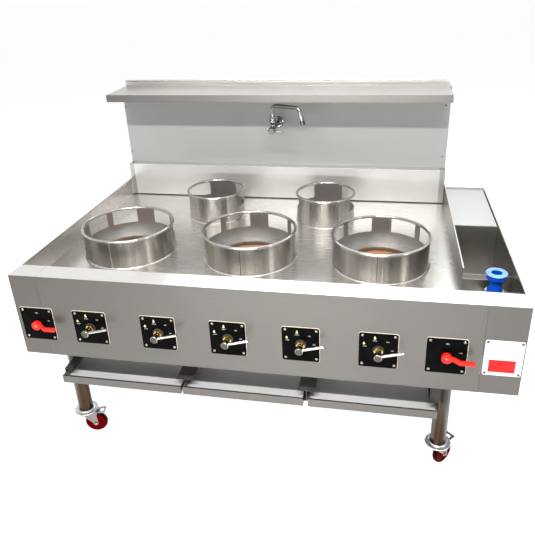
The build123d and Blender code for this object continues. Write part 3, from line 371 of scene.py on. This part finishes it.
for node, finish in (("front_fascia", fascia_steel), ("fascia_end_left", end_steel), ("fascia_end_right", end_steel)):
    two_tone(node, on_rim, [finish, rail_painted_light], 0.0016, 3)
# the left panel's inner faces take the painted light, its outer face the plain tone
two_tone("side_panel_left", lambda place, facing: facing.x < -FACING, [inner_side_painted_light, outer_steel], 0.0008)
two_tone("side_panel_right", on_rim, [outer_steel, rail_painted_light], 0.0008)
dress("rear_panel", back_steel, 0.0008)
dress("hob_deck", deck_steel, 0.0005)
dress("splash_box", box_steel, 0.0012, 3)
dress("splash_posts", post_steel, 0.0010)
dress("splash_panel", splash_steel, 0.0010, 3)
two_tone("splash_shelf", lambda place, facing: facing.y < -FACING and place.z < lip_below,
         [shelf_steel, lip_painted_shade], 0.0012, 3)
two_tone("drain_trough", trough_part, [trough_steel, rail_painted_light, divider_steel], 0.0008)
two_tone("trough_weir", lambda place, facing: facing.z > FACING, [trough_steel, weir_steel], 0.0008)
dress("trough_cover", cover_steel, 0.0006)

# %% [markdown]
# Under the body are the trays, their runners and the frame. The trays' floors are painted paler than their folded
# sides: painted light for the bright back that the real floors reflect. The runner at the right lies in the shade, so
# it gets a darker finish. The frame is hidden for the most part, so it keeps the CAD mesh and is only painted. Tubes
# and castings have no folds and are dressed without a bevel.

# %% Dress what is under the body
for tray in ("left", "middle", "right"):
    two_tone("drip_tray_" + tray, lambda place, facing: facing.z > FACING and place.z < tray_floor_below,
             [tray_steel, tray_floor_painted_light], 0.0006)
two_tone("tray_runners", lambda place, facing: place.x > shaded_from, [frame_steel, shaded_steel])
paint("base_frame", frame_steel)
dress("legs", leg_painted_reflection)
dress("burner_wells", trough_steel, 0.0006)
dress("burner_bricks", fire_brick)
dress("burner_heads", soot_iron)
for node in ("gas_feed_pipes", "gas_manifold", "water_pipes", "water_supply"):
    dress(node, pipe_steel)

# %% [markdown]
# ## Wok rings
# Each ring is a rolled strip with windows cut round its rear half, a round bar welded on its top edge and a bead at
# its foot. A circle that is extruded up twice gives the strip; the faces in the windows are deleted and the rest is
# given its thickness. Cutting the windows with a boolean would leave long thin faces round the curve. A small circle
# spun round the axis gives the bar.

# %% Roll the wok rings
deck_z = 0.767
ring_wall = 0.003
bar_radius = 0.006
burners = [(-0.622, -0.140, True), (-0.35975, 0.292, False), (-0.0975, -0.140, True), (0.16475, 0.292, False),
           (0.427, -0.140, True)]
ring_sizes = {True: (0.188, 0.124, 0.050), False: (0.1335, 0.132, 0.058)}  # radius, height, foot of the windows
windows = {True: [(12.5, 46.5), (54.5, 88.5), (271.5, 305.5), (313.5, 347.5)], False: [(30, 120), (240, 330)]}


def spun(points, centre, steps=144):
    """A closed profile in the XZ plane, spun round the vertical axis through the centre."""
    shape = bmesh.new()
    loop = [shape.verts.new(p) for p in points]
    edges = [shape.edges.new((a, b)) for a, b in zip(loop, loop[1:] + loop[:1])]
    bmesh.ops.spin(shape, geom=loop + edges, cent=centre, axis=(0, 0, 1), angle=2 * pi, steps=steps, use_merge=True)
    bmesh.ops.remove_doubles(shape, verts=shape.verts, dist=0.000001)
    bmesh.ops.recalc_face_normals(shape, faces=shape.faces)
    return shape


def rolled(centre, large):
    """The strip of a ring with its windows; faces that look inwards take the second finish."""
    radius, height, low = ring_sizes[large]
    bar_z = deck_z + height - bar_radius
    shape = bmesh.new()
    half_step = 0.5 if large else 0  # puts an edge of the circle on each side of a window
    turn = Matrix.Translation((centre.x, centre.y, deck_z)) @ Matrix.Rotation(radians(half_step), 4, "Z")
    bmesh.ops.create_circle(shape, segments=360, radius=radius - ring_wall, matrix=turn)
    edges = shape.edges[:]
    for rise in (low, bar_z - deck_z - low):
        made = bmesh.ops.extrude_edge_only(shape, edges=edges)["geom"]
        verts = [g for g in made if isinstance(g, bmesh.types.BMVert)]
        edges = [g for g in made if isinstance(g, bmesh.types.BMEdge)]
        bmesh.ops.translate(shape, verts=verts, vec=(0, 0, rise))
    gone = []
    for face in shape.faces:
        middle = face.calc_center_median()
        away = middle - centre
        angle = (90 - degrees(atan2(away.y, away.x))) % 360
        if middle.z > deck_z + low and any(a < angle < b for a, b in windows[large]):
            gone.append(face)
    bmesh.ops.delete(shape, geom=gone, context="FACES")
    bmesh.ops.recalc_face_normals(shape, faces=shape.faces)
    bmesh.ops.solidify(shape, geom=shape.faces[:], thickness=-ring_wall)
    bmesh.ops.recalc_face_normals(shape, faces=shape.faces)
    for face in shape.faces:
        outward = (face.calc_center_median() - centre).xy
        face.material_index = 1 if face.normal.xy.dot(outward) < -0.01 and abs(face.normal.z) < 0.5 else 0
    return shape


for number, (x, y, large) in enumerate(burners, 1):
    name = f"wok_ring_{number}"
    radius, height, low = ring_sizes[large]
    centre = Vector((x, y, 0))
    dress(name, [ring_steel if large else small_ring_painted_light, ring_inner], shape=rolled(centre, large))
    middle, bar_z = x + (radius - ring_wall / 2), deck_z + height - bar_radius
    bar = [(middle + bar_radius * cos(a * pi / 8), y, bar_z + bar_radius * sin(a * pi / 8)) for a in range(16)]
    add_piece(name + "_bar", spun(bar, centre), name, rod_steel)
    foot = [(x + radius + out, y, deck_z + up) for out, up in
            ((-0.001, 0.0005), (0.004, 0.0005), (0.0048, 0.002), (0.003, 0.0042), (-0.001, 0.0055))]
    add_piece(name + "_foot_bead", spun(foot, centre), name, bead_and_highlight_steel)
print("rings:", len(burners))

# %% [markdown]
# A strip that is rolled into a ring is closed by one upright weld, which shows at the front as a bright or a heat
# tinted line. In the trough the corners are welded too, and bright rods along the weir's edges are painted
# highlights. All of these are thin rods from point to point. A texture would need to know where the seam is, and a rod
# catches the light by itself.

# %% Weld beads
def bead(shape, low, high, radius):
    """A rod from one point to another, added to a shape."""
    before = set(shape.verts)
    low, high = Vector(low), Vector(high)
    bmesh.ops.create_cone(shape, cap_ends=True, segments=10, radius1=radius, radius2=radius, depth=(high - low).length)
    verts = [v for v in shape.verts if v not in before]
    aim = Vector((0, 0, 1)).rotation_difference(high - low).to_matrix().to_4x4()
    bmesh.ops.transform(shape, verts=verts, matrix=Matrix.Translation((low + high) / 2) @ aim)
    return shape


seam_reach = 0.1875  # half a millimetre inside the outer face of a large ring
seams = [(1, -0.4, bead_and_highlight_steel), (3, 1.2, dark_weld), (5, 3.8, bead_and_highlight_steel), (5, -2.2, dark_weld)]
for number, (ring, turn, finish) in enumerate(seams, 1):
    x, y, _ = burners[ring - 1]
    place = (x + seam_reach * sin(radians(turn)), y - seam_reach * cos(radians(turn)))
    rod = bead(bmesh.new(), (*place, deck_z + 0.004), (*place, deck_z + 0.113), 0.0014)
    add_piece(f"ring_seam_{number}", rod, f"wok_ring_{ring}", finish)

partition_y = 0.060
corner = bead(bmesh.new(), (0.892, partition_y, 0.620), (0.892, partition_y, 0.846), 0.0014)
bead(corner, (0.719, partition_y, 0.620), (0.719, partition_y, 0.846), 0.0010)
add_piece("trough_corner_beads", corner, "range_body", bead_and_highlight_steel)

weir_front, weir_back, weir_top = -0.3138, -0.2752, 0.8050
weir_left, weir_end, weir_right = 0.7185, 0.8600, 0.8925
# painted highlights: bright rods along the weir's top edges
edges = bead(bmesh.new(), (weir_left, weir_front, weir_top), (weir_end, weir_front, weir_top), 0.0009)
bead(edges, (weir_end, weir_front, 0.7455), (weir_end, weir_front, weir_top), 0.0010)
bead(edges, (weir_left, weir_back, weir_top), (weir_right, weir_back, weir_top), 0.0009)
add_piece("weir_edge_highlights", edges, "range_body", bead_and_highlight_steel)
print("seams:", len(seams))

# %% [markdown]
# ## Control plates and levers
# Each control has a black enamelled plate with a pale cut edge. The plate itself is pale and stands for the CAD node.
# A thin black face lies on it, drawn back a little at the top and at the right, where the edge shows. Both are cubes
# that are sized to their corners, and the edges that run from front to back are then bevelled round.

# %% Plates
front_y = -0.585
control_z = 0.660
gas_x = (-0.607, -0.343, -0.084, 0.175, 0.438)
water_x = (-0.8185, 0.6585)
half_wide, half_tall = 0.066, 0.0695


def rounded_plate(x0, x1, z0, z1, y0, y1, corner, shape=None):
    """Flat plate with round corners, between two depths."""
    shape = shape or bmesh.new()
    before = set(shape.verts)
    bmesh.ops.create_cube(shape, size=1)
    verts = [v for v in shape.verts if v not in before]
    for v in verts:
        v.co = Vector((x0 if v.co.x < 0 else x1, y0 if v.co.y < 0 else y1, z0 if v.co.z < 0 else z1))
    upright = [e for e in shape.edges if e.verts[0] in verts and abs(e.verts[0].co.y - e.verts[1].co.y) > 1e-6]
    bmesh.ops.bevel(shape, geom=upright, offset=corner, segments=6, profile=0.5, affect="EDGES", material=-1)
    return shape


backing, faces = bmesh.new(), bmesh.new()
for x in (*gas_x, *water_x):
    rounded_plate(x - half_wide, x + half_wide, control_z - half_tall, control_z + half_tall,
                  front_y - 0.0011, front_y, 0.008, backing)
    rounded_plate(x - 0.0658, x + 0.0645, control_z - 0.0693, control_z + 0.0672,
                  front_y - 0.0015, front_y - 0.0008, 0.0072, faces)
dress("control_plates", plate_edge, 0.0003, shape=backing)
add_piece("control_plate_faces", faces, "range_body", black_enamel, 0.0002)
dress("cock_collars", black_rubber_and_slot_shade, 0.0005)
dress("gas_cocks", brass, 0.0004)
dress("water_valves", brass, 0.0004)
print("plates:", len(gas_x) + len(water_x))

# %% [markdown]
# The plates stay generic: a small and a large flame with LOW and HIGH for the gas, and ON and OFF for both. The words
# are text objects that are turned into flat meshes, and a flame is a disc whose upper half is drawn up into a tip.
# They are real faces and lie a hair in front of the enamel, so they stay sharp however near the camera comes.

# %% Printed marks
print_y = front_y - 0.00156
gas_words = (("HIGH", -0.0128, 0.037, 0.0058), ("LOW", -0.046, 0.0136, 0.0055), ("OFF", 0.046, 0.0015, 0.0055),
             ("ON", 0.030, 0.035, 0.0062))
water_words = (("ON", 0.0, 0.046, 0.007), ("OFF", 0.044, 0.014, 0.0055))
upright_turn = Matrix.Rotation(pi / 2, 4, "X")


def printed(shape, text, x, z, size):
    """A word in the plane of the plates, added to a shape."""
    letters = bpy.data.curves.new("letters", "FONT")
    letters.body, letters.size = text, size
    letters.align_x = letters.align_y = "CENTER"
    holder = bpy.data.objects.new("letters", letters)
    flat = bpy.data.meshes.new_from_object(holder)
    before = set(shape.verts)
    shape.from_mesh(flat)
    bpy.data.objects.remove(holder)
    bpy.data.curves.remove(letters)
    bpy.data.meshes.remove(flat)
    verts = [v for v in shape.verts if v not in before]
    bmesh.ops.transform(shape, verts=verts, matrix=Matrix.Translation((x, print_y, z)) @ upright_turn)


def flame(shape, x, z, wide, tall):
    """A drop with its tip drawn up, added to a shape."""
    before = set(shape.verts)
    radius, disc_z = wide / 2, z - tall * 0.15
    matrix = Matrix.Translation((x, print_y, disc_z)) @ upright_turn
    bmesh.ops.create_circle(shape, cap_ends=True, segments=24, radius=radius, matrix=matrix)
    for v in shape.verts:
        if v not in before and v.co.z > disc_z:
            share = (v.co.z - disc_z) / radius
            v.co.z = disc_z + share ** 2 * tall * 0.65
            v.co.x = x + (v.co.x - x) * (1 - 0.35 * share)


words, flames = bmesh.new(), bmesh.new()
for x in gas_x:
    flame(flames, x - 0.0128, control_z + 0.0486, 0.008, 0.014)
    flame(flames, x - 0.0486, control_z + 0.0254, 0.008, 0.0105)
for places, marks in ((gas_x, gas_words), (water_x, water_words)):
    for x in places:
        for text, right, rise, size in marks:
            printed(words, text, x + right, control_z + rise, size)
add_piece("plate_flames", flames, "range_body", flame_paint)
add_piece("plate_words", words, "range_body", white_print)
print("marks on", len(gas_x) + len(water_x), "plates")

# %% [markdown]
# A gas lever is a turned hub with a rod, and its flat face is dull beside the plated rest. Between the hub and its
# nut the spindle is covered by a thick stem, which is a short cone. The red levers are one moulding with rounded
# edges, which a wider bevel gives. The two slots through its grip are painted shade: thin black plates that lie in the
# surface, because at this size a recess looks the same.

# %% Levers
hub_front = front_y - 0.048
for number, x in enumerate(gas_x, 1):
    lever = f"gas_lever_{number}"
    two_tone(lever, lambda place, facing: facing.y < -FACING and place.y < hub_front, [chrome, hub_face], 0.0003)
    stem = bmesh.new()
    bmesh.ops.create_cone(stem, cap_ends=True, segments=48, radius1=0.0112, radius2=0.0118, depth=0.0190,
                          matrix=Matrix.Translation((x, front_y - 0.0225, control_z)) @ upright_turn)
    add_piece(f"gas_lever_stem_{number}", stem, lever, chrome, 0.0006)

water_levers = {"left": water_x[0], "right": water_x[1]}
grip_front = front_y - 0.0400
for side, x in water_levers.items():
    lever = "water_lever_" + side
    dress(lever, red_plastic, 0.0016, 3)
    # black plates in the grip, painted shade for the two slots through it
    slots = bmesh.new()
    for along in (0.056, 0.071):
        rounded_plate(x + along - 0.0045, x + along + 0.0045, control_z - 0.0012, control_z + 0.0012,
                      grip_front - 0.0003, grip_front + 0.0005, 0.0010, slots)
    add_piece("water_lever_slot_shades_" + side, slots, lever, black_rubber_and_slot_shade)
print("levers:", len(gas_x) + len(water_levers))

# %% [markdown]
# Domed screws hold the plates, the splash panel, the rear panel and the red levers. A sphere that is flattened and
# turned to its face is enough for a head that is ten millimetres across, and its rear half is hidden. Screws that
# share a body and a finish are made as one piece.

# %% Screws
def screws(name, places, radius, height, finish, body="range_body", axis=(0, -1, 0)):
    """Domed screw heads on a face; axis points away from it."""
    shape = bmesh.new()
    aim = Vector((0, 0, 1)).rotation_difference(Vector(axis)).to_matrix().to_4x4()
    for place in places:
        before = set(shape.verts)
        bmesh.ops.create_uvsphere(shape, u_segments=20, v_segments=12, radius=1)
        verts = [v for v in shape.verts if v not in before]
        bmesh.ops.transform(shape, verts=verts, matrix=Matrix.Diagonal((radius, radius, height, 1)))
        bmesh.ops.transform(shape, verts=verts, matrix=Matrix.Translation(place) @ aim)
    return add_piece(name, shape, body, finish)


plate_screws = [(x + right, front_y - 0.0012, control_z + rise) for x in (*gas_x, *water_x)
                for right in (-0.054, 0.054) for rise in (-0.057, 0.057)]
screws("control_plate_screws", plate_screws, 0.0052, 0.0030, screw_steel)
for side, x in water_levers.items():
    screws("water_lever_screw_" + side, [(x, front_y - 0.0216, control_z)], 0.0046, 0.0022, screw_steel,
           "water_lever_" + side)
panel_y, rear_y = 0.565, 0.605
panel_screws = [(x, panel_y, z) for x, z in ((-0.893, 1.224), (-0.892, 0.991), (0.694, 1.239), (0.697, 0.994))]
screws("panel_screws", panel_screws, 0.0045, 0.0025, dark_screw)
rear_screws = [(x, rear_y, z) for x in (-0.86, -0.5, -0.1, 0.3, 0.68) for z in (0.545, 0.905)]
screws("rear_screws", rear_screws, 0.0050, 0.0028, screw_steel, axis=(0, 1, 0))
print("screws:", len(plate_screws) + len(panel_screws) + len(rear_screws) + len(water_levers))

# %% [markdown]
# ## Tap, standpipe and drain
# The tap is chromed and its thin lever and its outlet are darker, so those get a second finish by where they lie. The
# standpipe's top rim is paler, which is a test on height.

# %% Tap, standpipe and drain
yoke_from, outlet_below, outlet_from, pale_above = -0.082, 1.212, 0.02, 0.8585
dress("tap_body", tap_chrome, 0.0004)
two_tone("tap_handle", lambda place, facing: place.x > yoke_from, [tap_chrome, yoke_plate], 0.0004)
two_tone("tap_spout", lambda place, facing: place.z < outlet_below and place.x > outlet_from,
         [tap_chrome, dark_chrome], 0.0004)
two_tone("overflow_pipe", lambda place, facing: place.z > pale_above, [blue_plastic, blue_rim], 0.0006)
dress("drain_fitting", zinc, 0.0006)

# %% [markdown]
# ## Casters
# The wheel of a caster trails its leg by 34 mm along a heading, and each of the four stands at its own. The wheel is
# red at its sides and nearly black at its tread: the distance of a face from the axle tells them apart.
# The axle gets a domed head at either end. The ball race between the plate and the yoke is a short profile spun round
# the leg's axis.

# %% Casters
trail, axle_z = 0.034, 0.0475
red_radius = 0.0415
axle_reach = 0.0228
race_profile = ((0.036, 0.1075), (0.0405, 0.1085), (0.0415, 0.1115), (0.040, 0.1150), (0.034, 0.1150))
swivels = {"front_left": (-0.808, -0.426, 12), "front_right": (0.684, -0.402, 48), "rear_left": (-0.808, 0.450, 180),
           "rear_right": (0.684, 0.450, 152)}
dress("caster_rings", ring_zinc, 0.0006)
for corner, (x, y, heading) in swivels.items():
    body = "caster_" + corner
    dress("caster_yoke_" + corner, yoke_plate, 0.0005)
    ahead = Vector((cos(radians(heading)), sin(radians(heading)), 0))
    across = Vector((ahead.y, -ahead.x, 0))
    hub = Vector((x, y, axle_z)) + trail * ahead
    two_tone("caster_wheel_" + corner, lambda place, facing: (place - hub).cross(across).length < red_radius,
             [wheel_tread, wheel_side], 0.0008)
    for end, side in (("inner", -1), ("outer", 1)):
        screws(f"axle_head_{corner}_{end}", [hub + across * side * axle_reach], 0.0052, 0.0022, screw_steel, body,
               across * side)
    race = spun([(x + out, y, z) for out, z in race_profile], Vector((x, y, 0)), 48)
    add_piece("ball_race_" + corner, race, body, dark_chrome)
for corner in ("front_left", "front_right"):
    dress("brake_pedal_" + corner, zinc, 0.0004)
print("casters:", list(swivels))

# %% [markdown]
# ## The bare notice plate
# A white plate with a red panel is screwed to the right end of the fascia. It is made like the control plates and is
# left blank.

# %% Notice plate
notice = rounded_plate(0.7748, 0.8958, 0.598, 0.734, front_y - 0.0015, front_y, 0.007)
add_piece("notice_plate", notice, "range_body", white_enamel, 0.0003)
panel = rounded_plate(0.7917, 0.8752, 0.6116, 0.6592, front_y - 0.0018, front_y - 0.0014, 0.003)
add_piece("notice_plate_panel", panel, "range_body", red_enamel)
notice_screws = [(x, front_y - 0.0012, z) for x in (0.7825, 0.8880) for z in (0.606, 0.726)]
screws("notice_screws", notice_screws, 0.0050, 0.0028, dark_screw)
print("notice plate with", len(notice_screws), "screws")

# %% [markdown]
# ## Studio
# The floor is a plain pale disc. The world is white to the camera, and a softer grey to the surfaces that it lights,
# so that plain colours render about as they are written. To reflections it is white ahead of the camera and dimmer
# behind it, like a room with one white backdrop: the sheets that face the camera then show a tone and not plain
# white. The floor glows for those same rays and keeps the object's shadow.

# %% Floor and world
def bare_rays(nodes, links):
    """1 for rays from the camera, from a reflection or through glass, and 0 for rays that only light a surface."""
    path, total = nodes.new("ShaderNodeLightPath"), None
    for name in ("Is Camera Ray", "Is Glossy Ray", "Is Transmission Ray"):
        if total is None:
            total = path.outputs[name]
            continue
        larger = nodes.new("ShaderNodeMath")
        larger.operation = "MAXIMUM"
        links.new(total, larger.inputs[0])
        links.new(path.outputs[name], larger.inputs[1])
        total = larger.outputs[0]
    return total


floor_shape = bmesh.new()
bmesh.ops.create_circle(floor_shape, cap_ends=True, segments=96, radius=60)
floor_mesh = bpy.data.meshes.new("floor")
floor_shape.to_mesh(floor_mesh)
floor_shape.free()
floor = bpy.data.objects.new("floor", floor_mesh)
bpy.context.scene.collection.objects.link(floor)
floor_paint, shader = new_finish("floor paint", roughness=0.7)
shader.inputs["Base Color"].default_value = (0.86, 0.86, 0.86, 1)
shader.inputs["Specular IOR Level"].default_value = 0.2
floor_mesh.materials.append(floor_paint)
nodes, links = floor_paint.node_tree.nodes, floor_paint.node_tree.links
glow, both = nodes.new("ShaderNodeEmission"), nodes.new("ShaderNodeAddShader")
glow.inputs["Color"].default_value = (0.65, 0.65, 0.65, 1)
links.new(bare_rays(nodes, links), glow.inputs["Strength"])
links.new(shader.outputs["BSDF"], both.inputs[0])
links.new(glow.outputs["Emission"], both.inputs[1])
links.new(both.outputs["Shader"], nodes["Material Output"].inputs["Surface"])

world = bpy.data.worlds.new("studio")
world.use_nodes = True
bpy.context.scene.world = world
nodes, links = world.node_tree.nodes, world.node_tree.links
lighting, shown = nodes["Background"], nodes.new("ShaderNodeBackground")
lighting.inputs["Color"].default_value = (0.95, 0.97, 1.0, 1)
lighting.inputs["Strength"].default_value = 0.32
shown.inputs["Color"].default_value = (1, 1, 1, 1)
direction, split = nodes.new("ShaderNodeTexCoord"), nodes.new("ShaderNodeSeparateXYZ")
links.new(direction.outputs["Generated"], split.inputs["Vector"])
room = nodes.new("ShaderNodeMapRange")
for socket, value in (("From Min", -0.95), ("From Max", -0.35), ("To Min", 0.42), ("To Max", 1.0)):
    room.inputs[socket].default_value = value
links.new(split.outputs["Y"], room.inputs["Value"])
path, strength = nodes.new("ShaderNodeLightPath"), nodes.new("ShaderNodeMath")
strength.operation = "MAXIMUM"
links.new(path.outputs["Is Camera Ray"], strength.inputs[0])
links.new(room.outputs["Result"], strength.inputs[1])
links.new(strength.outputs["Value"], shown.inputs["Strength"])
mix = nodes.new("ShaderNodeMixShader")
links.new(bare_rays(nodes, links), mix.inputs["Fac"])
links.new(lighting.outputs["Background"], mix.inputs[1])
links.new(shown.outputs["Background"], mix.inputs[2])
links.new(mix.outputs["Shader"], nodes["World Output"].inputs["Surface"])
print("world strength on surfaces:", lighting.inputs["Strength"].default_value)

# %% [markdown]
# Area lamps give the soft, long highlights of sheet metal in a photographer's room. A large one overhead and one
# behind lie along the deck, a narrow strip in front lights the shelf and the splashback, two upright strips mark the
# curved pieces, and two low ones reach the trays and the casters.

# %% Lamps
def softbox(name, place, target, size, watts):
    """A rectangular lamp that looks at a point."""
    lamp = bpy.data.lights.new(name, "AREA")
    lamp.shape = "RECTANGLE"
    lamp.size, lamp.size_y = size
    lamp.energy = watts
    holder = bpy.data.objects.new(name, lamp)
    holder.location = place
    holder.rotation_euler = (Vector(target) - Vector(place)).to_track_quat("-Z", "Y").to_euler()
    bpy.context.scene.collection.objects.link(holder)


softbox("overhead", (0.3, -0.2, 3.6), (0, 0, 0.8), (3.4, 2.2), 10)
softbox("behind", (0.0, 2.7, 3.25), (-0.1, -0.4, 0.8), (3.2, 0.8), 38)
softbox("shelf strip", (0, -2.4, 3.47), (0, 0.5, 1.2), (2.7, 0.12), 180)
softbox("left strip", (-1.9, -3.2, 1.6), (0, 0, 0.7), (0.35, 2.4), 8)
softbox("right strip", (3.2, -1.9, 1.6), (0, 0, 0.7), (0.35, 2.4), 15)
softbox("low front", (-0.1, -3.2, 1.0), (0.0, -0.2, 0.42), (2.2, 0.3), 44)
softbox("low behind", (0.0, 3.0, 0.80), (0.0, -0.2, 0.40), (3.0, 0.4), 75)
print("lamps:", len(bpy.data.lights))

# %% [markdown]
# The camera stands where the photographer stood: in front, a little to the right, above the deck and looking down.
# Its place, turn and lens were fitted to corners of the range. The three turns are applied one after another to a
# level frame, which is easier to read than a matrix of nine numbers.

# %% Camera
eye = Vector((0.43846, -2.22428, 1.82137))
yaw, pitch, roll = radians(11.7003), radians(-24.7207), radians(-2.2935)
ahead = Vector((-sin(yaw) * cos(pitch), cos(yaw) * cos(pitch), sin(pitch)))
level = Vector((cos(yaw), sin(yaw), 0))
above = level.cross(ahead)
right = level * cos(roll) + above * sin(roll)
up = above * cos(roll) - level * sin(roll)
lens = bpy.data.cameras.new("camera")
lens.sensor_width = 36
lens.lens = 38.951
lens.shift_x = -0.01402
lens.shift_y = -0.0514
lens.clip_end = 200
camera = bpy.data.objects.new("camera", lens)
camera.matrix_world = Matrix.Translation(eye) @ Matrix((right, up, -ahead)).transposed().to_4x4()
bpy.context.scene.collection.objects.link(camera)
bpy.context.scene.camera = camera
bpy.context.scene.view_settings.view_transform = "Standard"
print("camera at", tuple(round(c, 3) for c in eye))
